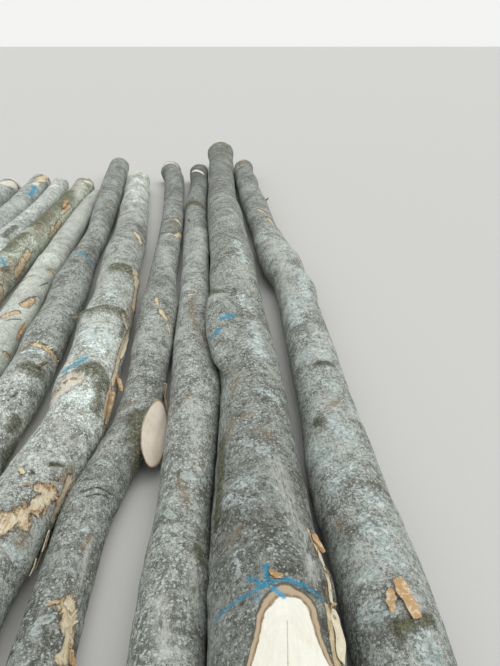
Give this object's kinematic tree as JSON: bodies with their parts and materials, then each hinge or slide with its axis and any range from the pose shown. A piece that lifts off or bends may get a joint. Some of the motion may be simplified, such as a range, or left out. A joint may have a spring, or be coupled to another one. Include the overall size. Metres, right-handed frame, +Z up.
{
  "type": "stack of logs",
  "caption": "Row of felled smooth-barked hardwood logs lying side by side on the ground, slightly crooked, with knot swellings, sawn ends and a sawn-off fork.",
  "frame": {"origin": "on the ground, under the middle of the row's bounding box", "axes": "+Z up, +Y along the logs from their butts to their tops, +X across the row towards the end with the thickest log"},
  "size_m": [3.3619, 8.6, 0.404],
  "materials": {
    "log_01_bark": "rough bark",
    "log_02_bark": "rough bark",
    "log_03_bark": "rough bark",
    "log_04_bark": "rough bark",
    "log_05_bark": "rough bark",
    "log_06_bark": "rough bark",
    "log_07_bark": "rough bark",
    "log_08_bark": "rough bark",
    "log_09_bark": "rough bark",
    "log_10_bark": "rough bark",
    "log_11_bark": "rough bark"
  },
  "bodies": {
    "root": {"log_01": "log_01_bark", "log_02": "log_02_bark", "log_03": "log_03_bark", "log_04": "log_04_bark", "log_05": "log_05_bark", "log_06": "log_06_bark", "log_07": "log_07_bark", "log_08": "log_08_bark", "log_09": "log_09_bark", "log_10": "log_10_bark", "log_11": "log_11_bark"}
  },
  "joints": []
}
